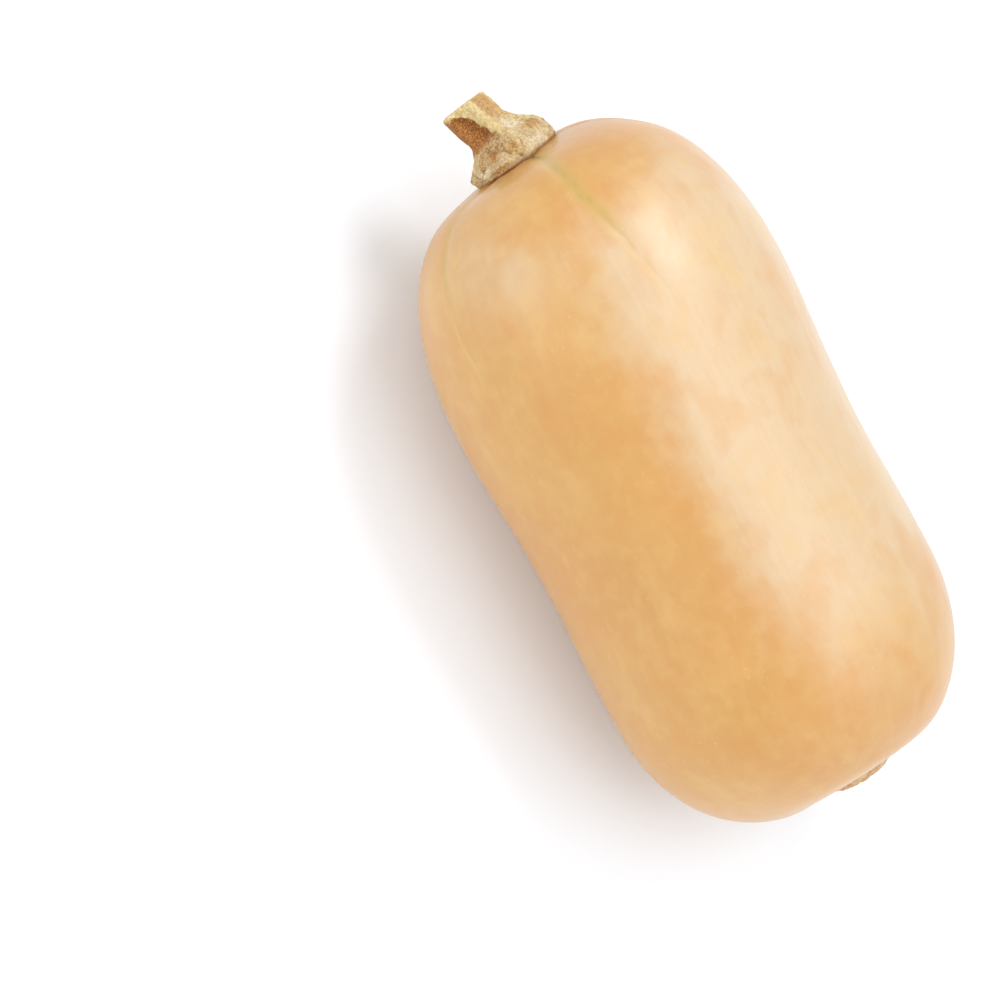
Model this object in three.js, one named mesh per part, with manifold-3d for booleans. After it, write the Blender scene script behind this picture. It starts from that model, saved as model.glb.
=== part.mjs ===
// A butternut squash as picked: the fruit lying on its side, its woody stem, and the corky scar
// where the flower sat. Millimetres, +Z up. The fruit's long axis lies along X, with the stem
// towards -X and the flower scar towards +X.

import * as THREE from 'three';
import Module from 'manifold-3d';
import { mergeVertices } from 'three/addons/utils/BufferGeometryUtils.js';

// The fruit, measured along its axis from the stem end
const fruitLength = 202;
const neckRadius = 53.2;
const neckEndsAt = 50;
const waistRadius = 50.5;
const waistAt = 109;
const bulbRadius = 51.5;
const bulbAt = 150;

// Each end closes as a superellipse: a length along the axis and two exponents
const stemShoulder = { length: 86, along: 3.4, across: 2.7 };
const blossomShoulder = { length: 49.5, along: 2.15, across: 2.65 };

// Five furrows run out from the stem, at these angles about the axis from straight up towards +Y.
// Each is deepest a little way from the stem, and notches the end face there too. They start off
// turned one way and end turned the other, because the stem stands off the fruit's middle.
const furrowAngles = [-15, 57, 131, 207, 279];
const furrowTurn = { from: -7, to: 4, over: 60 };
const furrowDepth = 1.1;
const furrowHalfWidth = 2.4;
const furrowDeepestAt = 10;
const furrowFadesOver = 26;
const furrowNotch = 0.55;

// Between the furrows the lobes swell a little at both ends, and less at the blossom end
const fluting = 0.011;
const flutingFadesOver = 34;
const flutingAtBlossom = 0.6;

// The fruit is a hair oval, and the oval turns along its length
const oval = { amount: 0.004, towards: 80, turnsOver: 40 };

// It isn't quite straight either: its middle line drifts sideways with a slight bow, and each end
// face leans, inside these shares of the neck's radius
const driftAngle = 74;
const driftAtStem = 2.1;
const driftPerLength = -0.05;
const bow = 0.8;
const stemEndLean = { towards: -72, slope: 0.135 };
const blossomEndLean = { towards: -18, slope: 0.184 };
const leanFadesFrom = 0.2;
const leanFadesTo = 0.65;

// The shallow hollows round the stem's foot and round the flower scar
const stemHollow = { depth: 0.6, radius: 30 };
const blossomHollow = { depth: 2.6, radius: 27 };

// The ripe fruit has flattened a little where it rests, with a soft edge to the flat
const restHeight = 52;
const restSoftness = 0.35;

// The stem, from its flared foot to the cut end. It stands a little off the fruit's middle and
// leans on towards the same side, away from the side where its foot is taller.
const stemLength = 20.1;
const stemSunk = 3;
const stemLeanAngle = 61;
const stemOffset = 1.6;
const stemLean = 17.7;
const footRadius = 13.6;
const footHeight = 2.9;
const footRounding = 0.03;
const footTallerBy = 1.9;
const footTallestFrom = 5;
const footTallestTo = 8;
const shankRadius = 6.4;
const shankStartsAt = 11.2;
const shankWidens = 0.0047;
const flareFullness = 0.6;

// Five ribs run down the shank, each ending between two of the foot's lobes
const ribHeight = 0.24;
const ribMean = 0.35;
const footLobes = 0.075;
const footRib = { height: 1.3, halfAngle: 9 };

// The cut end is slightly hollow and slopes, with a rounded edge
const cutSlope = 6.9;
const cutHollow = 1.1;
const cutEdge = { across: 1.2, along: 0.9 };

// The corky scar at the blossom end, off the fruit's middle line: its profile goes outwards from
// the middle underneath and back in over the top, as shares of its radius and height
const scarRadius = 9.6;
const scarHeight = 2.8;
const scarAngle = 61;
const scarOffset = 4;
const scarSunk = 3;
const scarUnderside = [[0, 1], [0.7, 1], [1, 0.4]];
const scarRim = [[1.02, 0.12], [0.95, 0.36], [0.82, 0.52], [0.76, 0.68], [0.6, 0.84], [0.38, 0.98]];
const scarNub = [[0.2, 0.9], [0.1, 1.05], [0, 1.08]];
const scarWaviness = 0.05;
const scarLonger = { amount: 0.04, towards: 34 };

// Welded pieces of the real thing are separate solids here, with this much air between them
const gap = 0.3;

const columnsPerLobe = 16;
const fruitRings = 42;
const stemColumnsPerLobe = 10;
const stemRings = 22;

const { lerp, smoothstep, degToRad } = THREE.MathUtils;
const wasm = await Module();
wasm.setup();

const lobes = furrowAngles.length;
const turn = 2 * Math.PI;
const driftDirection = outwards(degToRad(driftAngle));
const scarPlace = outwards(degToRad(scarAngle)).multiplyScalar(scarOffset);

// The direction away from the long axis at an angle about it
function outwards(angle) {
  return new THREE.Vector3(0, Math.sin(angle), Math.cos(angle));
}

// A lobe phase runs evenly from 0 to 1 round the fruit, with a furrow at each fifth of it.
// This gives the real angle, so the lobes can differ in width.
function angleOfPhase(phase) {
  const place = (phase - Math.floor(phase)) * lobes;
  const lobe = Math.floor(place) % lobes;
  const from = furrowAngles[lobe];
  const to = lobe + 1 < lobes ? furrowAngles[lobe + 1] : furrowAngles[0] + 360;
  return degToRad(lerp(from, to, place - Math.floor(place)));
}

// How far a phase is from its nearest furrow, as a share of the whole turn
function phaseFromFurrow(phase) {
  const place = phase * lobes;
  return Math.abs(place - Math.round(place)) / lobes;
}

function shoulder(distance, { length, along, across }) {
  const inwards = Math.max(0, 1 - distance / length);
  return Math.pow(Math.max(0, 1 - Math.pow(inwards, along)), 1 / across);
}

// The fruit's outline: its plain radius at a distance from the stem end
function outlineRadius(x) {
  const towardsWaist = smoothstep(x, neckEndsAt, waistAt);
  const towardsBulb = smoothstep(x, waistAt, bulbAt);
  const belt = lerp(lerp(neckRadius, waistRadius, towardsWaist), bulbRadius, towardsBulb);
  return belt * shoulder(x, stemShoulder) * shoulder(fruitLength - x, blossomShoulder);
}

class Outline extends THREE.Curve {
  getPoint(t, target = new THREE.Vector2()) {
    const x = (fruitLength * (1 - Math.cos(Math.PI * t))) / 2;
    return target.set(outlineRadius(x), x);
  }
}

function driftAt(x) {
  const alongBow = (4 * x * (fruitLength - x)) / fruitLength ** 2;
  return driftAtStem + driftPerLength * x - bow * alongBow;
}

// A hollow in an end, deepest in its middle
function hollow(away, { depth, radius }) {
  return depth * (1 - smoothstep(away, 0, radius));
}

// How far a leaning end face is pushed along the axis at a point beside the axis
function leaning(sideways, { towards, slope }) {
  return slope * sideways.dot(outwards(degToRad(towards)));
}

// A bell curve, 1 where the value is 0
function bell(value, width) {
  return Math.exp(-((value / width) ** 2));
}

// Near the pole a furrow can't be deeper than the radius that is left
function shallow(radius) {
  return smoothstep(radius, 4, 16);
}

// Nothing reaches below the resting plane: a soft clamp, flat where the fruit pressed hardest
function flattenedHeight(z) {
  const above = z + restHeight;
  if (above >= restSoftness) return z;
  if (above <= -restSoftness) return -restHeight;
  return (above + restSoftness) ** 2 / (4 * restSoftness) - restHeight;
}

// The fruit's skin at a distance from the stem end, a plain radius there, and a lobe phase
function skinPoint(x, radius, phase) {
  const turned = lerp(furrowTurn.from, furrowTurn.to, smoothstep(x, 0, furrowTurn.over));
  const angle = angleOfPhase(phase) + degToRad(turned);
  const alongSkin = x + radius / 2;
  const furrow = bell(phaseFromFurrow(phase) * turn * radius, furrowHalfWidth) *
    bell(alongSkin - furrowDeepestAt, furrowFadesOver);
  const swelling = bell(x, flutingFadesOver) +
    flutingAtBlossom * bell(fruitLength - x, flutingFadesOver);
  const flute = fluting * swelling * -Math.cos(lobes * phase * turn);
  const stretch = oval.amount * Math.cos(2 * (angle - degToRad(oval.towards)) + x / oval.turnsOver);
  const lobed = radius * (1 + flute + stretch);
  const point = outwards(angle).multiplyScalar(lobed - furrowDepth * furrow * shallow(radius));

  const onFace = 1 - smoothstep(radius / neckRadius, leanFadesFrom, leanFadesTo);
  if (x < fruitLength / 2) {
    const notch = furrowNotch * furrow;
    point.x = x + onFace * leaning(point, stemEndLean) + hollow(radius, stemHollow) + notch;
  } else {
    const sunk = hollow(point.distanceTo(scarPlace), blossomHollow);
    point.x = x - onFace * leaning(point, blossomEndLean) - sunk;
  }
  point.addScaledVector(driftDirection, driftAt(x));
  point.z = flattenedHeight(point.z);
  return point;
}

// A closed mesh with its shared vertices merged, no collapsed triangles, and its faces outwards
function weld(geometry) {
  for (const name of ['normal', 'uv']) geometry.deleteAttribute(name);
  const merged = mergeVertices(geometry, 1e-4);
  const index = Array.from(merged.index.array);
  const kept = [];
  for (let i = 0; i < index.length; i += 3) {
    const [a, b, c] = index.slice(i, i + 3);
    if (a !== b && b !== c && c !== a) kept.push(a, b, c);
  }
  merged.setIndex(kept);
  return merged;
}

function facingOut(geometry) {
  const position = geometry.attributes.position;
  const index = geometry.index.array;
  const [a, b, c] = [new THREE.Vector3(), new THREE.Vector3(), new THREE.Vector3()];
  let volume = 0;
  for (let i = 0; i < index.length; i += 3) {
    a.fromBufferAttribute(position, index[i]);
    b.fromBufferAttribute(position, index[i + 1]);
    c.fromBufferAttribute(position, index[i + 2]);
    volume += a.dot(b.cross(c));
  }
  if (volume < 0) geometry.setIndex(Array.from(index).reverse());
  geometry.computeVertexNormals();
  return geometry;
}

// Carries each vertex of a turned shape to its real place. The turned shape has its axis along Y,
// and place gets the distance along it, the radius, and the phase round it.
function carried(lathe, place) {
  const geometry = weld(lathe);
  const position = geometry.attributes.position;
  for (let i = 0; i < position.count; i += 1) {
    const [x, y, z] = [position.getX(i), position.getY(i), position.getZ(i)];
    const phase = (Math.atan2(x, z) / turn + 1) % 1;
    const point = place(y, Math.hypot(x, z), phase);
    position.setXYZ(i, point.x, point.y, point.z);
  }
  return facingOut(geometry);
}

function fruitGeometry() {
  const outline = new Outline();
  outline.arcLengthDivisions = 2000;
  const points = outline.getSpacedPoints(fruitRings);
  points[0].x = 0;
  points[fruitRings].x = 0;
  return carried(new THREE.LatheGeometry(points, lobes * columnsPerLobe), skinPoint);
}

// The same surface moved outwards by the gap, for cutting what sits on the fruit
function swollen(geometry, by) {
  const grown = geometry.clone();
  grown.computeVertexNormals();
  const { position, normal } = grown.attributes;
  for (let i = 0; i < position.count; i += 1) {
    position.setXYZ(
      i,
      position.getX(i) + by * normal.getX(i),
      position.getY(i) + by * normal.getY(i),
      position.getZ(i) + by * normal.getZ(i),
    );
  }
  return grown;
}

function solidOf(geometry) {
  const vertProperties = Float32Array.from(geometry.attributes.position.array);
  const triVerts = Uint32Array.from(geometry.index.array);
  return new wasm.Manifold(new wasm.Mesh({ numProp: 3, vertProperties, triVerts }));
}

function geometryOf(solid) {
  const mesh = solid.getMesh();
  const geometry = new THREE.BufferGeometry();
  const position = new THREE.BufferAttribute(Float32Array.from(mesh.vertProperties), 3);
  geometry.setAttribute('position', position);
  geometry.setIndex(Array.from(mesh.triVerts));
  geometry.computeVertexNormals();
  return geometry;
}

function cutByFruit(geometry, fruit) {
  return geometryOf(solidOf(geometry).subtract(solidOf(swollen(fruit, gap))));
}

// The stem's plain radius at a height above the skin: a flared foot, then the shank
function stemRadius(height) {
  const below = Math.max(0, footHeight - height) / footHeight;
  const foot = footRadius * (1 - footRounding * below ** 2);
  const flare = Math.pow(smoothstep(height, footHeight, shankStartsAt), flareFullness);
  const shank = shankRadius * (1 + shankWidens * Math.max(0, height - shankStartsAt));
  return lerp(foot, shank, flare);
}

function stemOutline() {
  const points = [new THREE.Vector2(0, -stemSunk), new THREE.Vector2(footRadius / 2, -stemSunk)];
  for (let i = 0; i <= stemRings; i += 1) {
    const height = lerp(-stemSunk, stemLength - cutEdge.along, i / stemRings);
    points.push(new THREE.Vector2(stemRadius(height), height));
  }
  const rim = stemRadius(stemLength);
  for (const around of [Math.PI / 4, Math.PI / 2]) {
    const inwards = cutEdge.across * (1 - Math.cos(around));
    const below = cutEdge.along * (1 - Math.sin(around));
    points.push(new THREE.Vector2(rim - inwards, stemLength - below));
  }
  points.push(new THREE.Vector2(rim / 2, stemLength - cutHollow * 0.7));
  points.push(new THREE.Vector2(rim / 4, stemLength - cutHollow));
  points.push(new THREE.Vector2(0, stemLength - cutHollow));
  return points;
}

// The stem's surface, given the same way as the skin's
function stemPoint(height, radius, phase) {
  const angle = angleOfPhase(phase);
  const onRib = 0.5 + 0.5 * Math.cos(lobes * phase * turn);
  const shank = smoothstep(height, footHeight, shankStartsAt);
  const shankShape = 1 + ribHeight * (onRib ** 2 - ribMean);
  const footShape = 1 + footLobes * -Math.cos(lobes * phase * turn);
  const fromRib = phaseFromFurrow(phase) * 360;
  const rib = (footRib.height * bell(fromRib, footRib.halfAngle) * radius) / footRadius;
  const r = radius * lerp(footShape, shankShape, shank) + rib * (1 - shank);

  const point = outwards(angle).multiplyScalar(r);
  const leanDirection = outwards(degToRad(stemLeanAngle));
  const cut = Math.tan(degToRad(cutSlope)) * smoothstep(height, footHeight, stemLength);
  const tallest = smoothstep(height, 0, footTallestFrom) *
    (1 - smoothstep(height, footTallestTo, stemLength));
  const taller = footTallerBy * tallest * Math.cos(angle - degToRad(stemLeanAngle));
  const onSkin = (1 - shank) * leaning(point, stemEndLean);
  const lean = stemOffset + Math.tan(degToRad(stemLean)) * Math.max(0, height);
  point.x = onSkin - height - taller - point.dot(leanDirection) * cut;
  return point.addScaledVector(leanDirection, -lean).addScaledVector(driftDirection, driftAtStem);
}

function stemGeometry() {
  return carried(new THREE.LatheGeometry(stemOutline(), lobes * stemColumnsPerLobe), stemPoint);
}

// The scar: a low button of cork with a stepped rim and a small nub left by the flower's style
function scarOutline() {
  const profile = [
    ...scarUnderside.map(([share, depth]) => [share, -depth * scarSunk]),
    ...[...scarRim, ...scarNub].map(([share, height]) => [share, height * scarHeight]),
  ];
  return profile.map(([share, height]) => new THREE.Vector2(share * scarRadius, height));
}

function scarPoint(height, radius, phase) {
  const angle = angleOfPhase(phase);
  const wave = scarWaviness * -Math.cos(lobes * phase * turn);
  const longer = scarLonger.amount * Math.cos(angle - degToRad(scarLonger.towards));
  const point = outwards(angle).multiplyScalar(radius * (1 + wave + longer));
  point.x = height - leaning(point, blossomEndLean);
  return point.add(scarPlace).addScaledVector(driftDirection, driftAt(fruitLength));
}

function scarGeometry() {
  return carried(new THREE.LatheGeometry(scarOutline(), lobes * stemColumnsPerLobe), scarPoint);
}

// Where the skin is under the middle of the scar, so that the scar stands on it
function skinUnderScar() {
  return fruitLength - leaning(scarPlace, blossomEndLean) - blossomHollow.depth;
}

function squash() {
  const fruit = fruitGeometry();
  const stem = stemGeometry();
  const scar = scarGeometry();
  scar.translate(skinUnderScar(), 0, 0);

  const skin = new THREE.MeshStandardMaterial({ color: 0xe3b077, roughness: 0.45, metalness: 0 });
  const wood = new THREE.MeshStandardMaterial({ color: 0xb99a66, roughness: 0.85, metalness: 0 });
  const cork = new THREE.MeshStandardMaterial({ color: 0xcfa566, roughness: 0.8, metalness: 0 });
  const named = (name, geometry, material) => {
    const mesh = new THREE.Mesh(geometry, material);
    mesh.name = name;
    return mesh;
  };
  const group = new THREE.Group();
  group.add(
    named('fruit', fruit, skin),
    named('stem', cutByFruit(stem, fruit), wood),
    named('blossom_scar', cutByFruit(scar, fruit), cork),
  );

  // The origin is under the middle of the whole, on the surface that it rests on
  const middle = new THREE.Box3().setFromObject(group).getCenter(new THREE.Vector3());
  group.position.set(-middle.x, -middle.y, restHeight);
  return group;
}

export default squash();
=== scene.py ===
import math

import bpy
import numpy as np
from mathutils import Matrix, Vector, noise


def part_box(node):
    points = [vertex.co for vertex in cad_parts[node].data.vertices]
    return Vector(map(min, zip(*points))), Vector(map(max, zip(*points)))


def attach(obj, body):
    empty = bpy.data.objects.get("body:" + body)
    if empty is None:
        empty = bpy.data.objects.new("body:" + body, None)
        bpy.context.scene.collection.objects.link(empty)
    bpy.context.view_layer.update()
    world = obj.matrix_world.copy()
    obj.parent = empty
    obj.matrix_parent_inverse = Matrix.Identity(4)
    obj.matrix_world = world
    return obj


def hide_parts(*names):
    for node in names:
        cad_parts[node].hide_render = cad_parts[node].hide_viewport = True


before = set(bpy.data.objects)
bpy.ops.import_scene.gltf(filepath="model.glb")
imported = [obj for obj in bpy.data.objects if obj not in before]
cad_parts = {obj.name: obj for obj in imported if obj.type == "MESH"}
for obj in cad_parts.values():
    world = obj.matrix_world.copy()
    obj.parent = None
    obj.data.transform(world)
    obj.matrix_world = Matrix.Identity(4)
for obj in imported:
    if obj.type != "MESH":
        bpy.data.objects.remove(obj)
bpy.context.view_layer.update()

# The fruit
# One whole ripe butternut squash: a hard tan rind under a thin natural wax, with five shallow lobes.
# It grew round its own long axis, and lying on its side has flattened it a touch under neck and bulb.

mm = 0.001
fruit_length = 202 * mm
neck_radius, neck_ends_at = 53.2 * mm, 50 * mm
waist_radius, waist_at = 50.5 * mm, 109 * mm
bulb_radius, bulb_at = 51.5 * mm, 150 * mm
stem_shoulder = {"length": 86 * mm, "along": 3.4, "across": 2.7}
blossom_shoulder = {"length": 49.5 * mm, "along": 2.15, "across": 2.65}

furrow_angles = [-15, 57, 131, 207, 279]
furrow_turns_from, furrow_turns_to, furrow_turns_over = -7, 4, 60 * mm
furrow_depth, furrow_half_width, furrow_notch = 1.1 * mm, 2.4 * mm, 0.55 * mm
furrow_deepest_at, furrow_fades_over = 10 * mm, 26 * mm
furrow_starts_from, furrow_full_from = 4 * mm, 16 * mm
fluting, fluting_fades_over, fluting_at_blossom = 0.011, 34 * mm, 0.6

drift_angle, drift_at_stem, drift_per_length, bow = 74, 2.1 * mm, -0.05, 0.8 * mm
stem_end_lean = {"towards": -72, "slope": 0.135}
blossom_end_lean = {"towards": -18, "slope": 0.184}
ovalness, oval_towards, oval_turns_over = 0.004, 80, 40 * mm
stem_hollow = {"depth": 0.6 * mm, "radius": 30 * mm}
blossom_hollow = {"depth": 2.6 * mm, "radius": 27 * mm}
end_face_to, end_face_gone_at = 0.2, 0.65
scar_angle, scar_offset = 61, 4 * mm
rest_height, rest_softness = 52 * mm, 0.35 * mm
lump_height, longest_lump, lumps_start_over = 0.11 * mm, 46 * mm, 20 * mm

lobes = len(furrow_angles)


def eased(value, low, high):
    share = np.clip((value - low) / (high - low), 0, 1)
    return share * share * (3 - 2 * share)


def outwards(angle):
    """The direction away from the long axis at an angle about it, 0 straight up and 90 towards +Y."""
    return np.stack([np.zeros_like(angle), np.sin(angle), np.cos(angle)], axis=-1)


def angle_of_phase(phase):
    """A phase runs evenly from 0 to 1 round the fruit, with a furrow at each fifth of it."""
    marks = np.radians(furrow_angles + [furrow_angles[0] + 360])
    return np.interp((phase % 1) * lobes, np.arange(lobes + 1), marks)


def from_furrow(phase):
    place = phase * lobes
    return np.abs(place - np.round(place)) / lobes


def shoulder(distance, length, along, across):
    inwards = np.clip(1 - distance / length, 0, 1)
    return np.clip(1 - inwards**along, 0, 1) ** (1 / across)


def outline_radius(x):
    belt = neck_radius + (waist_radius - neck_radius) * eased(x, neck_ends_at, waist_at)
    belt = belt + (bulb_radius - belt) * eased(x, waist_at, bulb_at)
    return belt * shoulder(x, **stem_shoulder) * shoulder(fruit_length - x, **blossom_shoulder)


def drift_at(x):
    along_bow = 4 * x * (fruit_length - x) / fruit_length**2
    return drift_at_stem + drift_per_length * x - bow * along_bow


def leaning(sideways, towards, slope):
    return slope * sideways @ outwards(np.radians(towards))


def hollow(away, depth, radius):
    return depth * (1 - eased(away, 0, radius))


def bell(value, width):
    return np.exp(-((value / width) ** 2))


def flattened(z):
    """Nothing reaches below the resting plane: a soft clamp, flat where the fruit pressed hardest."""
    above = z + rest_height
    soft = (above + rest_softness) ** 2 / (4 * rest_softness) - rest_height
    return np.where(above >= rest_softness, z, np.where(above <= -rest_softness, -rest_height, soft))


drift_direction = outwards(np.radians(drift_angle))
scar_place = scar_offset * outwards(np.radians(scar_angle))


def angle_on_skin(x, phase):
    """The furrows start off turned one way and end turned the other."""
    turned = eased(x, 0, furrow_turns_over)
    return angle_of_phase(phase) + np.radians(furrow_turns_from * (1 - turned) + furrow_turns_to * turned)


def skin_points(x, radius, phase):
    angle = angle_on_skin(x, phase)
    furrow = bell(from_furrow(phase) * math.tau * radius, furrow_half_width)
    furrow = furrow * bell(x + radius / 2 - furrow_deepest_at, furrow_fades_over)
    swelling = bell(x, fluting_fades_over) + fluting_at_blossom * bell(fruit_length - x, fluting_fades_over)
    flute = fluting * swelling * -np.cos(lobes * phase * math.tau)
    oval = ovalness * np.cos(2 * (angle - math.radians(oval_towards)) + x / oval_turns_over)
    furrow_begins = eased(radius, furrow_starts_from, furrow_full_from)
    r = radius * (1 + flute + oval) - furrow_depth * furrow * furrow_begins

    points = outwards(angle) * r[..., None]
    on_face = 1 - eased(radius / neck_radius, end_face_to, end_face_gone_at)
    stem_end = x + on_face * leaning(points, **stem_end_lean) + hollow(radius, **stem_hollow)
    sunk = hollow(np.linalg.norm(points - scar_place, axis=-1), **blossom_hollow)
    blossom_end = x - on_face * leaning(points, **blossom_end_lean) - sunk
    points[..., 0] = np.where(x < fruit_length / 2, stem_end + furrow_notch * furrow, blossom_end)
    points += drift_at(x)[..., None] * drift_direction
    return points


def slow_lumps(points, seed, longest, waves=14, shortest_share=0.35, usual_peak=1.6):
    """Gentle random unevenness between about -1 and 1, from waves in all directions."""
    random = np.random.default_rng(seed)
    total = np.zeros(points.shape[:-1])
    for _ in range(waves):
        direction = random.normal(size=3)
        wavelength = longest * random.uniform(shortest_share, 1)
        swing = points @ (direction / np.linalg.norm(direction)) * math.tau / wavelength
        total += np.sin(swing + random.uniform(0, math.tau))
    return total / math.sqrt(waves) / usual_peak


def closed_form(name, rings, **marks):
    """A closed mesh from rings of points whose first and last ring are single points.
    Each mark is a number for every point, kept on the mesh for the material to read."""
    rows, columns = rings.shape[:2]
    count = (rows - 2) * columns + 2
    points = np.vstack([rings[0, :1], rings[1:-1].reshape(-1, 3), rings[-1, :1]])
    index = 1 + np.arange((rows - 2) * columns).reshape(rows - 2, columns)
    after = np.roll(index, -1, axis=1)
    quads = np.stack([index[:-1], after[:-1], after[1:], index[1:]], axis=-1).reshape(-1, 4)
    first = np.stack([np.zeros(columns, int), after[0], index[0]], axis=-1)
    last = np.stack([index[-1], after[-1], np.full(columns, count - 1)], axis=-1)
    faces = [*quads.tolist(), *first.tolist(), *last.tolist()]

    middle = points.mean(axis=0)
    a, b, c = (points[quads[:, corner]] - middle for corner in range(3))
    if np.einsum("ij,ij->i", a, np.cross(b, c)).sum() < 0:
        faces = [face[::-1] for face in faces]
    mesh = bpy.data.meshes.new(name)
    mesh.from_pydata(points.tolist(), [], faces)
    mesh.polygons.foreach_set("use_smooth", [True] * len(faces))
    for mark, value in marks.items():
        flat = np.concatenate([value[0, :1], value[1:-1].ravel(), value[-1, :1]])
        mesh.attributes.new(mark, "FLOAT", "POINT").data.foreach_set("value", flat)
    mesh.update()
    piece = bpy.data.objects.new(name, mesh)
    bpy.context.scene.collection.objects.link(piece)
    return piece


def fruit_rings(rows=248, columns=380, outline_steps=4000):
    """Rings spaced evenly over the skin from the stem to the flower end."""
    share = np.linspace(0, 1, outline_steps)
    x = fruit_length * (1 - np.cos(np.pi * share)) / 2
    radius = outline_radius(x)
    travelled = np.concatenate([[0], np.cumsum(np.hypot(np.diff(x), np.diff(radius)))])
    even = np.linspace(0, travelled[-1], rows)
    x, radius = np.interp(even, travelled, x), np.interp(even, travelled, radius)
    radius[0] = radius[-1] = 0
    phase = np.arange(columns) / columns
    grid = np.meshgrid(x, phase, indexing="ij") + [np.repeat(radius[:, None], columns, axis=1)]
    return grid[0], grid[2], grid[1], np.repeat(even[:, None], columns, axis=1)


x, radius, phase, travelled = fruit_rings()
rings = skin_points(x, radius, phase)
away = outwards(angle_on_skin(x, phase))
lumps = slow_lumps(rings, seed=4, longest=longest_lump) * lump_height
rings += away * (lumps * eased(radius, 0, lumps_start_over))[..., None]
rings[..., 2] = flattened(rings[..., 2])

# Each furrow stayed green to its own degree, in the order of their angles, and each lobe has a pale
# patch on its shoulder, on its crest or a little to one side of it
furrow_green = np.array([1.0, 0.5, 0.7, 0.4, 0.45])
pale_patch_phases = [0.1, 0.32, 0.48, 0.7, 0.873]
pale_patch_at, pale_patch_half_length, pale_patch_half_width = 57 * mm, 14 * mm, 0.055
pale_shoulders = np.zeros(x.shape)
for patch_phase in pale_patch_phases:
    lengthwise = (travelled - pale_patch_at) / pale_patch_half_length
    crosswise = ((phase - patch_phase + 0.5) % 1 - 0.5) / pale_patch_half_width
    pale_shoulders = np.maximum(pale_shoulders, bell(np.hypot(crosswise, lengthwise), 1.0))

# The mesh's own middle goes where the solid's is, and its underside onto the resting plane
low, high = (np.array(corner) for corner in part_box("fruit"))
fruit_shift = (low + high) / 2 - (rings.min(axis=(0, 1)) + rings.max(axis=(0, 1))) / 2
fruit_shift[2] = rest_height
angle = angle_on_skin(x, phase)
fruit = closed_form(
    "squash_fruit",
    rings + fruit_shift,
    along=travelled / mm,
    across_y=np.sin(angle) * radius / mm,
    across_z=np.cos(angle) * radius / mm,
    angle_sine=np.sin(angle),
    angle_cosine=np.cos(angle),
    beside_furrow=np.sin(lobes * phase * math.tau) * radius / lobes / mm,
    near_furrow=np.cos(lobes * phase * math.tau),
    furrow_green=furrow_green[np.round(phase * lobes).astype(int) % lobes],
    shoulder=pale_shoulders,
    scar_away=np.linalg.norm(rings - rings[-1, 0] - scar_place, axis=-1) / mm,
)


class Shading:
    """A material's nodes, made and joined in one go."""

    def __init__(self, name):
        self.material = bpy.data.materials.new(name)
        self.material.use_nodes = True
        self.nodes = self.material.node_tree.nodes
        self.links = self.material.node_tree.links
        self.surface = self.nodes["Principled BSDF"]

    def join(self, value, socket):
        if isinstance(value, bpy.types.NodeSocket):
            self.links.new(value, socket)
        else:
            socket.default_value = value

    def mark(self, name):
        """A number that the mesh holds for each of its points."""
        node = self.nodes.new("ShaderNodeAttribute")
        node.attribute_name = name
        return node.outputs["Fac"]

    def place(self):
        return self.nodes.new("ShaderNodeTexCoord").outputs["Object"]

    def worked(self, kind, *values):
        """One step of arithmetic, by Blender's own name for it."""
        node = self.nodes.new("ShaderNodeMath")
        node.operation = kind
        for value, socket in zip(values, node.inputs):
            self.join(value, socket)
        return node.outputs[0]

    def plus(self, first, second):
        return self.worked("ADD", first, second)

    def times(self, *values):
        product = values[0]
        for value in values[1:]:
            product = self.worked("MULTIPLY", product, value)
        return product

    def apart(self, first, second):
        return self.worked("ABSOLUTE", self.worked("SUBTRACT", first, second))

    def three(self, a, b, c):
        node = self.nodes.new("ShaderNodeCombineXYZ")
        for value, socket in zip((a, b, c), node.inputs):
            self.join(value, socket)
        return node.outputs[0]

    def stretched(self, vector, scale):
        node = self.nodes.new("ShaderNodeMapping")
        self.links.new(vector, node.inputs["Vector"])
        node.inputs["Scale"].default_value = scale
        return node.outputs[0]

    def cloud(self, vector, scale, detail=3.0, roughness=0.5, distortion=0.0):
        node = self.nodes.new("ShaderNodeTexNoise")
        self.links.new(vector, node.inputs["Vector"])
        node.inputs["Scale"].default_value = scale
        node.inputs["Detail"].default_value = detail
        node.inputs["Roughness"].default_value = roughness
        node.inputs["Distortion"].default_value = distortion
        return node.outputs["Fac"]

    def cells(self, vector, scale):
        node = self.nodes.new("ShaderNodeTexVoronoi")
        self.links.new(vector, node.inputs["Vector"])
        node.inputs["Scale"].default_value = scale
        return node.outputs["Distance"]

    def swinging(self, cloud, swing):
        """A cloud's value turned into one that swings about 0."""
        return self.times(self.worked("SUBTRACT", cloud, 0.5), swing)

    def window(self, value, low, high, to_low=0.0, to_high=1.0):
        """Runs smoothly from to_low, where the value is low, to to_high, where it is high."""
        node = self.nodes.new("ShaderNodeMapRange")
        node.interpolation_type = "SMOOTHSTEP"
        self.join(value, node.inputs["Value"])
        for name, number in zip(("From Min", "From Max", "To Min", "To Max"), (low, high, to_low, to_high)):
            node.inputs[name].default_value = number
        return node.outputs["Result"]

    def blend(self, share, under, over, kind="MIX"):
        node = self.nodes.new("ShaderNodeMix")
        node.data_type = "RGBA"
        node.blend_type = kind
        self.join(share, node.inputs["Factor"])
        self.join(under, node.inputs[6])
        self.join(over, node.inputs[7])
        return node.outputs[2]

    def relief(self, height, distance, strength=1.0, under=None):
        node = self.nodes.new("ShaderNodeBump")
        node.inputs["Strength"].default_value = strength
        node.inputs["Distance"].default_value = distance
        self.links.new(height, node.inputs["Height"])
        if under is not None:
            self.links.new(under, node.inputs["Normal"])
        return node.outputs["Normal"]


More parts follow.
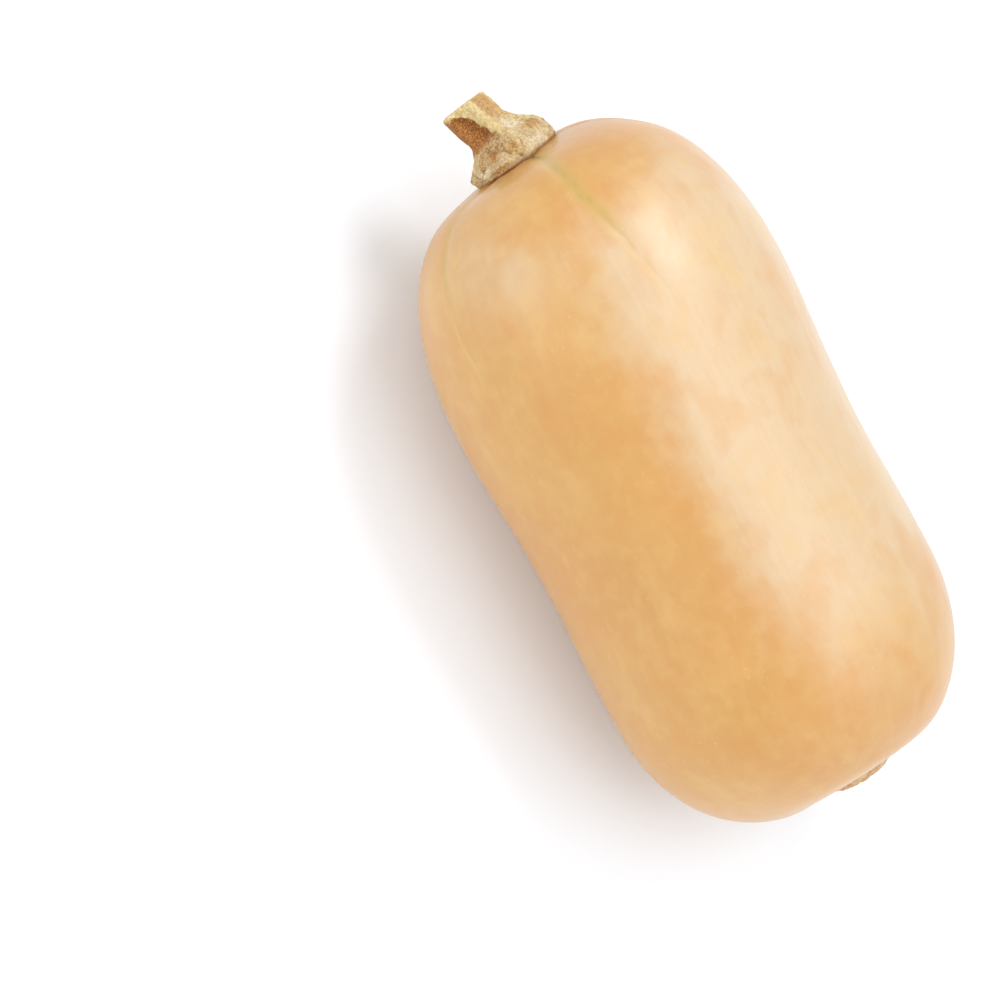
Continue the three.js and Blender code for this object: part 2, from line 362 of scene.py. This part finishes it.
def colour(red, green, blue):
    """A colour as a screen shows it, from 0 to 255, in the linear light that shading works in."""
    shares = [channel / 255 for channel in (red, green, blue)]
    return [s / 12.92 if s <= 0.04045 else ((s + 0.055) / 1.055) ** 2.4 for s in shares] + [1]


def ripe_skin():
    """Distances along and across the skin are in millimetres here, and angles in radians."""
    skin = Shading("ripe_waxed_skin")
    along = skin.mark("along")
    sine, cosine = skin.mark("angle_sine"), skin.mark("angle_cosine")
    on_skin = skin.three(along, skin.mark("across_y"), skin.mark("across_z"))
    round_about = skin.three(skin.times(along, 0.012), sine, cosine)

    tan = colour(199, 148, 82)
    straw = colour(202, 155, 87)
    pale = colour(207, 183, 149)
    orange = colour(204, 142, 71)
    rosy_and_shade = colour(180, 130, 65)
    flower_end_tan = colour(216, 171, 119)
    deeper_tan = colour(205, 145, 77)
    yellower_tan = colour(212, 173, 108)
    dark_mottle = colour(195, 136, 73)
    light_mottle = colour(218, 175, 119)
    brushed_tan = colour(189, 127, 64)
    pore_cream = colour(224, 197, 155)
    lip_pink = colour(214, 175, 140)
    band_green = colour(197, 162, 92)
    strand_olive = colour(178, 148, 78)
    lip_highlight_cream = colour(222, 194, 138)
    line_olive = colour(184, 153, 92)
    dark_olive = colour(138, 114, 53)

    wide = skin.cloud(on_skin, 0.024, 2.0)
    ground = skin.blend(skin.window(wide, 0.38, 0.62), tan, straw)

    # A long pale band down one side, with a blotched border along the fruit: partly paler skin, partly a
    # painted sheen of a broad soft light
    lengthwise = skin.stretched(on_skin, (0.55, 1.0, 1.0))
    blotches = skin.cloud(lengthwise, 0.075, 2.0, 0.45)
    spots = skin.cloud(on_skin, 0.2, 2.0, 0.5)
    border = skin.worked("ARCTAN2", sine, cosine)
    for noise_here, swing in ((wide, 0.12), (blotches, 0.27), (spots, 0.08)):
        border = skin.plus(border, skin.swinging(noise_here, swing))
    near_drawn_in = skin.window(along, 160, 210, 0.0, 0.14)
    near_side = skin.window(skin.worked("SUBTRACT", border, near_drawn_in), -0.76, -0.32)
    far_drawn_in = skin.window(along, 135, 200, 0.0, 0.5)
    far_side = skin.window(skin.plus(border, far_drawn_in), 0.9, 1.9, 1.0, 0.0)
    past_stem = skin.window(skin.plus(along, skin.swinging(blotches, 30.0)), 43, 77)
    short_of_scar = skin.window(skin.plus(along, skin.swinging(blotches, 40.0)), 168, 220, 1.0, 0.2)
    pale_and_sheen = skin.times(near_side, far_side, past_stem, short_of_scar)
    ground = skin.blend(skin.times(pale_and_sheen, 0.92), ground, pale)

    # The pale patches on the lobes' shoulders
    shoulders = skin.times(skin.mark("shoulder"), skin.window(blotches, 0.3, 0.6, 0.35, 0.75))
    ground = skin.blend(shoulders, ground, pale)

    # The skin is a little paler all round at the flower end
    flower_end = skin.window(along, 196, 236, 0.0, 0.5)
    ground = skin.blend(flower_end, ground, flower_end_tan)

    # Low on the near side it is a deeper orange: painted shade and painted orange bounce light along that
    # low rim
    low_side_shade = skin.times(skin.window(border, -2.85, -2.4), skin.window(border, -2.2, -1.5, 0.5, 0.0))
    ground = skin.blend(low_side_shade, ground, orange)

    # A rosy cast round the stem, darkened there with painted shade where the shoulder turns from the light,
    # and faint orange clouds, most of them towards the bulb
    rosy_shade_round_stem = skin.window(along, 16, 48, 0.8, 0.0)
    ground = skin.blend(rosy_shade_round_stem, ground, rosy_and_shade)
    drawn_out = skin.stretched(on_skin, (0.7, 1.0, 1.0))
    clouds = skin.window(skin.cloud(drawn_out, 0.05, 3.0, 0.6), 0.54, 0.72)
    on_bulb = skin.window(along, 110, 220, 0.22, 0.5)
    shown = skin.window(pale_and_sheen, 0.0, 1.0, 1.0, 0.12)
    ground = skin.blend(skin.times(clouds, on_bulb, shown), ground, orange)

    # Washes of a deeper and of a yellower tan, a finger's width across, as in watercolour
    washes = skin.cloud(drawn_out, 0.06, 3.0, 0.55, 0.5)
    ground = skin.blend(skin.window(washes, 0.34, 0.52, 0.3, 0.0), ground, deeper_tan)
    ground = skin.blend(skin.window(washes, 0.5, 0.68, 0.0, 0.3), ground, yellower_tan)

    # Soft mottling a few millimetres across, and faint brushed streaks along the fruit
    strength = skin.window(pale_and_sheen, 0.0, 1.0, 1.0, 0.5)
    dark_spots = skin.times(skin.window(spots, 0.34, 0.56, 0.15, 0.0), strength)
    light_spots = skin.times(skin.window(spots, 0.5, 0.7, 0.0, 0.12), strength)
    ground = skin.blend(dark_spots, ground, dark_mottle)
    ground = skin.blend(light_spots, ground, light_mottle)
    fine = skin.cloud(skin.stretched(round_about, (2.4, 22.0, 22.0)), 1.3, 4.0, 0.65, 0.6)
    ground = skin.blend(skin.window(fine, 0.36, 0.56, 0.06, 0.0), ground, brushed_tan)

    # Each furrow starts as a thin olive line at the stem, widens into a blurred yellow-green band with
    # a darker strand in it, and ends as a thin line again with a painted highlight along one lip of it
    wander = skin.swinging(skin.cloud(on_skin, 0.11, 2.0), 2.2)
    past_line = skin.plus(skin.mark("beside_furrow"), wander)
    off_line = skin.worked("ABSOLUTE", past_line)
    near = skin.window(skin.mark("near_furrow"), 0.5, 0.8)
    green = skin.mark("furrow_green")
    gaps = skin.cloud(skin.stretched(on_skin, (0.4, 1.4, 1.4)), 0.22, 2.0)
    broken = skin.window(gaps, 0.34, 0.6, 0.4, 1.0)
    band = skin.window(off_line, 0.4, 4.8, 0.8, 0.0)
    band = skin.times(band, skin.window(along, 16, 27), skin.window(along, 54, 70, 0.85, 0.0))
    strand = skin.window(off_line, 0.3, 2.4, 0.9, 0.0)
    strand = skin.times(strand, broken, skin.window(along, 50, 68, 0.75, 0.0))
    beside_line = skin.apart(past_line, -1.7)
    lip_highlight = skin.window(beside_line, 0.2, 1.3, 0.36, 0.0)
    lip_highlight = skin.times(lip_highlight, skin.window(along, 54, 68), broken, skin.window(along, 68, 92, 1.0, 0.0))
    last_line = skin.times(skin.window(along, 50, 62), skin.window(along, 62, 98, 0.4, 0.0))
    last_line = skin.times(skin.window(off_line, 0.15, 0.85, 1.0, 0.0), last_line, broken)
    first_line = skin.times(skin.window(off_line, 0.2, 1.0, 1.0, 0.0), skin.window(along, 17, 27, 0.9, 0.0))
    furrow_paints = (
        (band, band_green),
        (strand, strand_olive),
        (lip_highlight, lip_highlight_cream),
        (last_line, line_olive),
        (first_line, dark_olive),
    )
    for share, paint in furrow_paints:
        ground = skin.blend(skin.times(share, near, green), ground, paint)

    # Tiny pale pores, and the pinkish lip of the hollow that the scar sits in
    pores = skin.window(skin.cells(on_skin, 0.42), 0.06, 0.2, 1.0, 0.0)
    sparse = skin.window(blotches, 0.5, 0.64, 0.0, 0.2)
    ground = skin.blend(skin.times(pores, sparse), ground, pore_cream)
    lip = skin.window(skin.mark("scar_away"), 21.0, 31.0, 0.5, 0.0)
    ground = skin.blend(lip, ground, lip_pink)

    # A satin skin under its own wax, with light reaching a little way in
    skin.join(ground, skin.surface.inputs["Base Color"])
    skin.join(skin.window(spots, 0.3, 0.7, 0.42, 0.5), skin.surface.inputs["Roughness"])
    skin.surface.inputs["Specular IOR Level"].default_value = 0.35
    skin.surface.inputs["Coat Weight"].default_value = 0.45
    skin.surface.inputs["Coat Roughness"].default_value = 0.24
    skin.surface.inputs["Subsurface Weight"].default_value = 0.08
    skin.surface.inputs["Subsurface Radius"].default_value = (1.0, 0.5, 0.2)
    skin.surface.inputs["Subsurface Scale"].default_value = 2 * mm

    # Faint dents like those of orange peel, and a finer grain
    dents = skin.cloud(on_skin, 0.3, 3.0, 0.5)
    grain = skin.cloud(on_skin, 1.8, 2.0, 0.5)
    normal = skin.relief(dents, 0.2 * mm, 0.35)
    normal = skin.relief(grain, 0.05 * mm, 0.35, normal)
    skin.join(normal, skin.surface.inputs["Normal"])
    return skin.material


fruit.data.materials.append(ripe_skin())
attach(fruit, "root")
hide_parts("fruit")

# The stem
# The dry stalk that the fruit hung by, cut a finger's width above it: hard five-ribbed wood, corky outside.
# Its foot flares into five pads grown onto the skin, and each rib runs down between two pads into a furrow.

stem_length, stem_sunk = 20.1 * mm, 3 * mm
stem_lean_angle, stem_offset, stem_lean = 61, 1.6 * mm, 17.7
foot_radius, foot_height, foot_rounding, foot_taller_by = 13.6 * mm, 2.9 * mm, 0.03, 1.9 * mm
foot_tallest_from, foot_tallest_to = 5 * mm, 8 * mm
shank_radius, shank_starts_at, shank_widens, flare_fullness = 6.4 * mm, 11.2 * mm, 4.7, 0.6
rib_height, rib_mean, foot_lobes, foot_rib, foot_rib_half_angle = 0.24, 0.35, 0.075, 1.3 * mm, 9
foot_edge, foot_edge_from, foot_soft, foot_soft_along = 1.8 * mm, 1.0 * mm, 0.8 * mm, 1.3 * mm
cut_slope, cut_hollow, cut_edge_across, cut_edge_along = 6.9, 1.1 * mm, 1.2 * mm, 0.9 * mm
cork_grain_size, cork_grain_height, grain_drawn_out = 2.2 * mm, 0.3 * mm, 0.35
cork_lump_size, cork_lump_height = 2.4 * mm, 0.22 * mm
cork_crumb_size, cork_crumb_height = 0.8 * mm, 0.1 * mm
crease_half_width, crease_depth = 0.5 * mm, 0.2 * mm


def stem_radius(height):
    below = np.maximum(0, foot_height - height) / foot_height
    foot = foot_radius * (1 - foot_rounding * below**2)
    shank = shank_radius * (1 + shank_widens * np.maximum(0, height - shank_starts_at))
    return foot + (shank - foot) * eased(height, foot_height, shank_starts_at) ** flare_fullness


def stem_rings(columns=280, side_rings=170, edge_rings=8, face_rings=23):
    """Rings from the middle of its underside, up its side, round the cut edge and in over the cut."""
    side = np.linspace(-stem_sunk, stem_length - cut_edge_along, side_rings)
    rim = stem_radius(stem_length)
    steps = np.linspace(0, 1, edge_rings + 1)[1:] * math.pi / 2
    edge = rim - cut_edge_across * (1 - np.cos(steps))
    edge_height = stem_length - cut_edge_along * (1 - np.sin(steps))
    inwards = np.linspace(1, 0, face_rings + 1)[1:]
    face = stem_length - cut_hollow * eased(1 - inwards, 0, 0.7)
    floor_shares = np.array([0, 0.4, 0.8])
    floor = stem_radius(-stem_sunk) * floor_shares
    radii = np.concatenate([floor, stem_radius(side), edge, edge[-1] * inwards])
    heights = np.concatenate([[-stem_sunk] * len(floor_shares), side, edge_height, face])
    radii -= foot_soft * bell(heights - foot_height, foot_soft_along)
    below = np.clip((foot_edge_from - heights) / (foot_edge_from + stem_sunk), 0, 1)
    radii -= foot_edge * (1 - np.sqrt(1 - below**2)) * (radii > foot_edge)
    height, phase = np.meshgrid(heights, np.arange(columns) / columns, indexing="ij")
    return height, np.repeat(radii[:, None], columns, axis=1), phase


def stem_points(height, radius, phase):
    angle = angle_of_phase(phase)
    on_rib = 0.5 + 0.5 * np.cos(lobes * phase * math.tau)
    shank = eased(height, foot_height, shank_starts_at)
    shank_shape = 1 + rib_height * (on_rib**2 - rib_mean)
    foot_shape = 1 + foot_lobes * -np.cos(lobes * phase * math.tau)
    rib = foot_rib * bell(from_furrow(phase) * 360, foot_rib_half_angle) * radius / foot_radius
    r = radius * (foot_shape + (shank_shape - foot_shape) * shank) + rib * (1 - shank)

    points = outwards(angle) * r[..., None]
    lean_direction = outwards(np.radians(stem_lean_angle))
    cut = math.tan(math.radians(cut_slope)) * eased(height, foot_height, stem_length)
    tallest = eased(height, 0, foot_tallest_from) * (1 - eased(height, foot_tallest_to, stem_length))
    taller = foot_taller_by * tallest * np.cos(angle - math.radians(stem_lean_angle))
    on_skin = (1 - shank) * leaning(points, **stem_end_lean)
    lean = stem_offset + math.tan(math.radians(stem_lean)) * np.maximum(0, height)
    points[..., 0] = on_skin - height - taller - points @ lean_direction * cut
    return points - lean_direction * lean[..., None] + drift_direction * drift_at_stem


def rough(points, size, seed):
    """Broken random unevenness between about -1 and 1, with grains down to a quarter of the size."""
    offset = Vector((seed, 2 * seed, 3 * seed))
    flat = points.reshape(-1, 3) / size
    values = [noise.fractal(Vector(p) + offset, 0.9, 2.0, 3) for p in flat.tolist()]
    return np.array(values).reshape(points.shape[:-1])


def near_line(up, side, line, half_width):
    """1 on a line drawn over the stem through (up, side) points, fading out at its half width."""
    spot = np.stack([up * stem_length, side * math.tau * shank_starts_at], axis=-1)
    line = np.array(line) * [stem_length, math.tau * shank_starts_at]
    nearest = np.full(up.shape, np.inf)
    for start, end in zip(line[:-1], line[1:]):
        step = end - start
        share = np.clip((spot - start) @ step / (step @ step), 0, 1)
        nearest = np.minimum(nearest, np.linalg.norm(spot - start - share[..., None] * step, axis=-1))
    return 1 - eased(nearest, 0.3 * half_width, half_width)


def patch(up, side, middle_up, middle_side, half_up, half_side):
    """1 in the middle of an oval on the stem, fading out softly at its border."""
    away = np.hypot((up - middle_up) / half_up, (side - middle_side) / half_side)
    return 1 - eased(away, 0.5, 1.2)


def past_rib(side, rib):
    """How far round the stem a side is past a rib, from -0.5 to 0.5."""
    return (side - rib / lobes + 0.5) % 1 - 0.5


height, radius, phase = stem_rings()
rings = stem_points(height, radius, phase)
up = height / stem_length
away = outwards(angle_of_phase(phase))

# A side runs from -0.5 to 0.5 round the stem, with 0 on the palest rib. Both it and the height
# are shaken a little, so that nothing painted by them has a ruled edge.
coarse_shake, fine_shake = 3 * mm, 1 * mm
shaken_up = up + 0.035 * rough(rings, coarse_shake, seed=11) + 0.015 * rough(rings, fine_shake, seed=12)
shaken = phase + 0.014 * rough(rings, coarse_shake, seed=13) + 0.007 * rough(rings, fine_shake, seed=14)
side = past_rib(shaken, rib=0)
from_nearest_rib = (side * lobes + 0.5) % 1 - 0.5

# The face left of the palest rib is chestnut brown, partly the wood's own brown and partly painted shade on
# that hollowed flank, from the far left rib to a sharp border beside the palest rib, darkest near that
# border
border_up = [0.36, 0.41, 0.53, 0.67, 0.81, 0.9, 0.95]
border_side = [-0.02, -0.03, -0.05, -0.06, -0.08, -0.13, -0.2]
border = np.interp(shaken_up, border_up, border_side)
sunned = eased(side, -0.45, -0.38) * (1 - eased(side, border - 0.013, border + 0.011))
sunned = sunned * eased(shaken_up, 0.36, 0.46) * (1 - eased(shaken_up, 0.9, 0.97))
deepest = sunned * eased(side, border - 0.11, border - 0.03) * (1 - eased(shaken_up, 0.86, 0.95))
pale_rib = (1 - eased(side, 0.015, 0.04)) * eased(side, border - 0.004, border + 0.008)
pale_rib *= eased(shaken_up, 0.3, 0.5)
other_ribs = (1 - eased(np.abs(from_nearest_rib), 0.08, 0.22)) * (1 - sunned) * 0.45
rusty = eased(side, 0.02, 0.06) * (1 - eased(side, 0.3, 0.4)) * eased(shaken_up, 0.5, 0.7)

# A crease runs down each side of each rib's foot, one side only on one rib, as a line through places given
# as (up, side)
creases = np.zeros(up.shape)
first_crease = [(0.25, 0), (0.2, 0.01), (0.15, 0.006), (0.09, -0.012), (0.02, -0.04)]
second_crease = [(0.42, -0.19), (0.3, -0.111), (0.25, -0.075), (0.2, -0.053), (0.14, -0.046), (0.06, -0.033)]
single_creased_rib = 1
for rib in range(lobes):
    rib_creases = [first_crease] if rib == single_creased_rib else [first_crease, second_crease]
    for crease in rib_creases:
        drawn = near_line(shaken_up, past_rib(side, rib), crease, crease_half_width)
        creases = np.maximum(creases, drawn)
creases *= 0.35 + 0.65 * eased(rough(rings, 1.6 * mm, seed=15), -0.3, 0.3)

# Each pad has its blots, ovals given as the place up and round of their middles and their half sizes
blots, whitened = np.zeros(up.shape), np.zeros(up.shape)
ochre_blots = [
    (0.23, 0.115, 0.08, 0.055), (0.19, -0.027, 0.09, 0.022), (0.24, -0.122, 0.055, 0.03),
    (0.03, -0.12, 0.05, 0.05), (0.2, 0.33, 0.1, 0.06), (0.22, -0.32, 0.09, 0.05), (0.12, 0.45, 0.08, 0.04),
]
chalky_blots = [
    (0.05, 0.045, 0.1, 0.045), (0.1, -0.19, 0.1, 0.05), (0.4, 0.08, 0.12, 0.05),
    (0.06, 0.2, 0.07, 0.06), (0.08, -0.4, 0.08, 0.06),
]
for blot in ochre_blots:
    blots = np.maximum(blots, patch(shaken_up, side, *blot))
for blot in chalky_blots:
    whitened = np.maximum(whitened, patch(shaken_up, side, *blot))
browned = patch(shaken_up, side, 0.32, -0.12, 0.16, 0.13)

# A dark seam where the foot meets the skin, its brown partly painted shade in the crevice, darkest under one
# pad
seam_up = up + 0.012 * rough(rings, fine_shake, seed=16)
darkest_seam_shade = patch(up, side, -0.06, -0.13, 0.3, 0.09)
dark_seam = (1 - eased(seam_up, -0.05, 0.0)) * (0.55 + 0.45 * darkest_seam_shade)

# Cork swells and cracks: long grains down the shank, lumps on the pads, and the creases sunk in
grains_down = rough(rings * [grain_drawn_out, 1, 1], cork_grain_size, seed=7) * cork_grain_height
lumps = rough(rings, cork_lump_size, seed=8) * cork_lump_height
crumbs = rough(rings, cork_crumb_size, seed=3) * cork_crumb_height
showing = eased(height, -1.4 * mm, 0.2 * mm) * eased(radius, 0, 4 * mm)
rings += away * ((grains_down + lumps + crumbs - creases * crease_depth) * showing)[..., None]
on_cut = eased(height, stem_length - 0.6 * mm, stem_length - 0.1 * mm)
on_cut = np.maximum(on_cut, (radius < shank_radius * 0.8) * (up > 0.9))
stem = closed_form(
    "squash_stem",
    rings + fruit_shift,
    up=up,
    sunned=sunned,
    deepest=deepest,
    pale_rib=np.maximum(pale_rib, other_ribs),
    rusty=rusty,
    blots=blots,
    whitened=whitened,
    browned=browned,
    creases=creases,
    dark_seam=dark_seam,
    on_cut=on_cut,
    cut_radius=radius / mm,
)


def corky_wood():
    """The heights in it are shares of the stem's length, and the clouds' scales are per metre."""
    wood = Shading("dry_corky_wood")
    place, up = wood.place(), wood.mark("up")
    wide = wood.cloud(place, 420, 3.0, 0.6)
    mottle = wood.cloud(place, 1000, 2.0, 0.6, 0.6)
    grains = wood.cloud(place, 2300, 2.0, 0.6)

    # Corky tan and cream in blotches about a millimetre across, greyer on the pads
    ground = wood.blend(wood.window(mottle, 0.38, 0.6), colour(182, 147, 95), colour(210, 190, 145))
    greyer = wood.times(wood.window(up, 0.16, 0.5, 0.6, 0.0), wood.window(wide, 0.4, 0.6))
    ground = wood.blend(greyer, ground, colour(186, 166, 131))
    ground = wood.blend(wood.times(wood.mark("rusty"), 0.6), ground, colour(197, 155, 103))
    rust_specks = wood.times(wood.window(grains, 0.5, 0.6), wood.mark("rusty"))
    ground = wood.blend(wood.times(rust_specks, 0.8), ground, colour(158, 103, 47))

    # The ribs' crests are the palest, with a yellow-green edge against the chestnut face
    crest = wood.blend(wood.window(mottle, 0.4, 0.6), colour(205, 181, 123), colour(220, 205, 162))
    ground = wood.blend(wood.times(wood.mark("pale_rib"), 0.85), ground, crest)
    sunned = wood.mark("sunned")
    edge = wood.window(wood.apart(sunned, 0.25), 0.0, 0.3, 0.7, 0.0)
    ground = wood.blend(wood.times(edge, wood.window(up, 0.4, 0.55)), ground, colour(173, 145, 73))
    # The chestnut face and its darkest part near the border carry painted shade as well as the wood's brown
    chestnut = wood.blend(wood.window(grains, 0.42, 0.6), colour(127, 73, 25), colour(188, 125, 62))
    ground = wood.blend(wood.window(sunned, 0.2, 0.8, 0.0, 0.94), ground, chestnut)
    dark = wood.blend(wood.window(grains, 0.54, 0.66), colour(108, 62, 23), colour(175, 116, 53))
    ground = wood.blend(wood.times(wood.mark("deepest"), 0.9), ground, dark)

    # One pad is browner, with ochre blots and chalky spots on all, brown creases, brown specks everywhere,
    # and the dark seam against the skin, its brown partly painted shade in the crevice
    brown = wood.blend(wood.window(mottle, 0.36, 0.58), colour(138, 95, 56), colour(184, 151, 106))
    ground = wood.blend(wood.times(wood.mark("browned"), 0.75), ground, brown)
    ochre = wood.blend(wood.window(mottle, 0.4, 0.6), colour(153, 106, 47), colour(188, 147, 88))
    ground = wood.blend(wood.times(wood.mark("blots"), 0.85), ground, ochre)
    chalky = wood.times(wood.mark("whitened"), wood.window(mottle, 0.36, 0.6, 0.3, 0.75))
    ground = wood.blend(chalky, ground, colour(223, 210, 181))
    ground = wood.blend(wood.window(grains, 0.3, 0.44, 0.55, 0.0), ground, colour(134, 90, 43))
    ground = wood.blend(wood.times(wood.mark("creases"), 0.85), ground, colour(138, 90, 40))
    ground = wood.blend(wood.mark("dark_seam"), ground, colour(136, 82, 38))

    # The cut end is paler, with a ring of drier wood and a dark pith
    cut = wood.blend(wood.window(mottle, 0.4, 0.6), colour(190, 158, 106), colour(212, 190, 144))
    ring = wood.plus(wood.mark("cut_radius"), wood.swinging(wide, 2.0))
    cut = wood.blend(wood.window(ring, 1.2, 2.6, 0.7, 0.0), cut, colour(118, 77, 38))
    dry_ring = wood.window(wood.apart(ring, 4.2), 0.2, 0.9, 0.5, 0.0)
    cut = wood.blend(dry_ring, cut, colour(147, 106, 58))
    ground = wood.blend(wood.times(wood.mark("on_cut"), 0.85), ground, cut)

    wood.join(ground, wood.surface.inputs["Base Color"])
    wood.join(wood.window(wide, 0.3, 0.7, 0.7, 0.9), wood.surface.inputs["Roughness"])
    wood.surface.inputs["Specular IOR Level"].default_value = 0.3
    normal = wood.relief(mottle, 0.3 * mm, 0.7)
    wood.join(wood.relief(grains, 0.15 * mm, 0.7, normal), wood.surface.inputs["Normal"])
    return wood.material


stem.data.materials.append(corky_wood())
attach(stem, "root")
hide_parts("stem")

# The flower scar
# A button of dry layered cork where the flower dropped off, with a nub left by the middle of the flower.
# It has healed into a shallow hollow at the end of the fruit, a little off the middle.

scar_radius = 9.6 * mm
scar_height = 2.8 * mm
scar_sunk = 1.6 * mm
scar_stands_out = 0.5 * mm
scar_lobing, scar_lopsided, scar_lopsided_to = 0.05, 0.04, 0.6
layer_width, layer_height = 0.8 * mm, 0.09 * mm
ragged_size, ragged_height = 2.0 * mm, 0.16 * mm


def scar_rings(columns=180, rings=97):
    """Rings from the middle of its underside to the top of its nub, after shares of radius and heights."""
    profile = np.array([
        [0, -scar_sunk], [0.5, -scar_sunk], [0.97, -scar_sunk], [1, -scar_sunk * 0.4],
        [1.02, scar_height * 0.12], [0.95, scar_height * 0.36], [0.82, scar_height * 0.52],
        [0.76, scar_height * 0.68], [0.6, scar_height * 0.84], [0.38, scar_height * 0.98],
        [0.2, scar_height * 0.9], [0.1, scar_height * 1.05], [0, scar_height * 1.08],
    ])
    share = np.linspace(0, len(profile) - 1, rings)
    radii = np.interp(share, np.arange(len(profile)), profile[:, 0]) * scar_radius
    heights = np.interp(share, np.arange(len(profile)), profile[:, 1])
    height, phase = np.meshgrid(heights, np.arange(columns) / columns, indexing="ij")
    return height, np.repeat(radii[:, None], columns, axis=1), phase


height, radius, phase = scar_rings()
angle = angle_of_phase(phase)
wave = 1 - scar_lobing * np.cos(lobes * phase * math.tau) + scar_lopsided * np.cos(angle - scar_lopsided_to)
rings = outwards(angle) * (radius * wave)[..., None]
wandering = 2 * slow_lumps(rings, seed=9, longest=9 * mm)
layers = np.sin(radius / layer_width * math.tau + wandering) * layer_height
another_stretch = 1
ragged = rough(rings + another_stretch, ragged_size, seed=5) * ragged_height
showing = eased(height, 0, 0.5 * mm)
rings[..., 0] = height + (layers + ragged) * showing - leaning(rings, **blossom_end_lean)
rings += scar_place + drift_direction * drift_at(fruit_length)
skin_under_scar = fruit_length - leaning(scar_place, **blossom_end_lean) - blossom_hollow["depth"]
rings[..., 0] += skin_under_scar + scar_stands_out
scar = closed_form(
    "squash_blossom_scar",
    rings + fruit_shift,
    ring=radius / scar_radius,
    high=height / scar_height,
)


def layered_cork():
    cork = Shading("dry_layered_cork")
    place = cork.place()
    wide = cork.cloud(place, 420, 3.0, 0.6)
    grains = cork.cloud(place, 1700, 3.0, 0.7)
    wavy = cork.times(wide, 9.0)
    layers = cork.worked("SINE", cork.plus(cork.times(cork.mark("ring"), 62.0), wavy))
    ground = cork.blend(cork.window(wide, 0.38, 0.62), colour(200, 156, 104), colour(214, 182, 136))
    ground = cork.blend(cork.window(layers, 0.1, 0.9, 0.0, 0.45), ground, colour(158, 108, 51))
    ground = cork.blend(cork.window(grains, 0.36, 0.48, 0.5, 0.0), ground, colour(138, 90, 40))
    edge = cork.window(cork.mark("high"), 0.02, 0.2, 0.4, 0.0)
    ground = cork.blend(edge, ground, colour(138, 92, 47))
    cork.join(ground, cork.surface.inputs["Base Color"])
    cork.join(cork.window(wide, 0.3, 0.7, 0.65, 0.85), cork.surface.inputs["Roughness"])
    cork.join(cork.relief(grains, 0.2 * mm, 0.7), cork.surface.inputs["Normal"])
    return cork.material


scar.data.materials.append(layered_cork())
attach(scar, "root")
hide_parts("blossom_scar")

# The table
# A smooth white sheet of board that runs well past the view, with nothing on it but the squash.

board_reach = 6.0


def white_board():
    mesh = bpy.data.meshes.new("white_board")
    ways = ((-1, -1), (1, -1), (1, 1), (-1, 1))
    corners = [(x * board_reach, y * board_reach, 0) for x, y in ways]
    mesh.from_pydata(corners, [], [(0, 1, 2, 3)])
    board = bpy.data.objects.new("white_board", mesh)
    bpy.context.scene.collection.objects.link(board)
    paint = Shading("matt_white_board")
    even = paint.cloud(paint.place(), 3.0, 2.0)
    white = paint.blend(even, colour(240, 245, 251), colour(243, 248, 254))
    paint.join(white, paint.surface.inputs["Base Color"])
    paint.surface.inputs["Roughness"].default_value = 0.9
    paint.surface.inputs["Specular IOR Level"].default_value = 0.1
    mesh.materials.append(paint.material)
    return board


white_board()

# The light
# A white tent all round, and five soft panels: a broad one overhead, a small key light above and a little
# behind, whose glint shows on the neck, a fill light low on the near side, and a faint one at each end.

tent_strength = 0.82
squash_middle = Vector((0.0, 0.0, rest_height))


def tent():
    world = bpy.data.worlds.new("white_tent")
    world.use_nodes = True
    world.node_tree.nodes["Background"].inputs["Color"].default_value = (1, 1, 1, 1)
    world.node_tree.nodes["Background"].inputs["Strength"].default_value = tent_strength
    bpy.context.scene.world = world


def panel(name, towards, away, width, length, level):
    """The level is how bright it makes a white surface that faces it, where 1 is full white."""
    light = bpy.data.lights.new(name, "AREA")
    light.shape = "RECTANGLE"
    light.size, light.size_y = length, width
    light.energy = level * math.pi**2 * away**2
    lamp = bpy.data.objects.new(name, light)
    towards = Vector(towards).normalized()
    lamp.location = squash_middle + towards * away
    across = Vector((1, 0, 0))
    across = (across - towards * across.dot(towards)).normalized()
    lamp.rotation_euler = Matrix((across, towards.cross(across), towards)).transposed().to_euler()
    bpy.context.scene.collection.objects.link(lamp)


tent()
panel("overhead_panel", towards=(0.35, 0.12, 0.95), away=1.2, width=1.0, length=1.2, level=0.36)
panel("key_panel", towards=(-0.37, 0.36, 0.85), away=0.8, width=0.25, length=0.3, level=0.33)
panel("fill_panel", towards=(-0.4, -0.9, 0.3), away=0.9, width=0.6, length=0.7, level=0.23)
panel("stem_end_panel", towards=(-0.8, -0.3, 0.5), away=1.1, width=1.2, length=1.2, level=0.05)
panel("flower_end_panel", towards=(0.9, -0.5, 0.4), away=1.1, width=1.2, length=1.2, level=0.14)
bpy.context.scene.view_settings.view_transform = "Standard"

# The camera
# A long lens that looks down on the squash from its front, turned so that the stem points up and left.

lens, sensor_width = 135, 36
camera_around, camera_height, camera_turned = -6.65, 60, 65.12
camera_away = 1063 * mm
aimed_along = 101 * mm
slid_right, slid_up = 55.6 * mm, 9.76 * mm


def camera():
    around, above, turned = (math.radians(v) for v in (camera_around, camera_height, camera_turned))
    back = Vector((math.sin(around) * math.cos(above), -math.cos(around) * math.cos(above), math.sin(above)))
    level = Vector((math.cos(around), math.sin(around), 0))
    upright = back.cross(level)
    right = math.cos(turned) * level + math.sin(turned) * upright
    up = math.cos(turned) * upright - math.sin(turned) * level
    aim = Vector((aimed_along, 0, 0)) + Vector(fruit_shift)
    eye = bpy.data.objects.new("camera", bpy.data.cameras.new("camera"))
    eye.data.lens = lens
    eye.data.sensor_width = sensor_width
    place = aim + back * camera_away - right * slid_right - up * slid_up
    eye.matrix_world = Matrix.Translation(place) @ Matrix((right, up, back)).transposed().to_4x4()
    bpy.context.scene.collection.objects.link(eye)
    bpy.context.scene.camera = eye


camera()
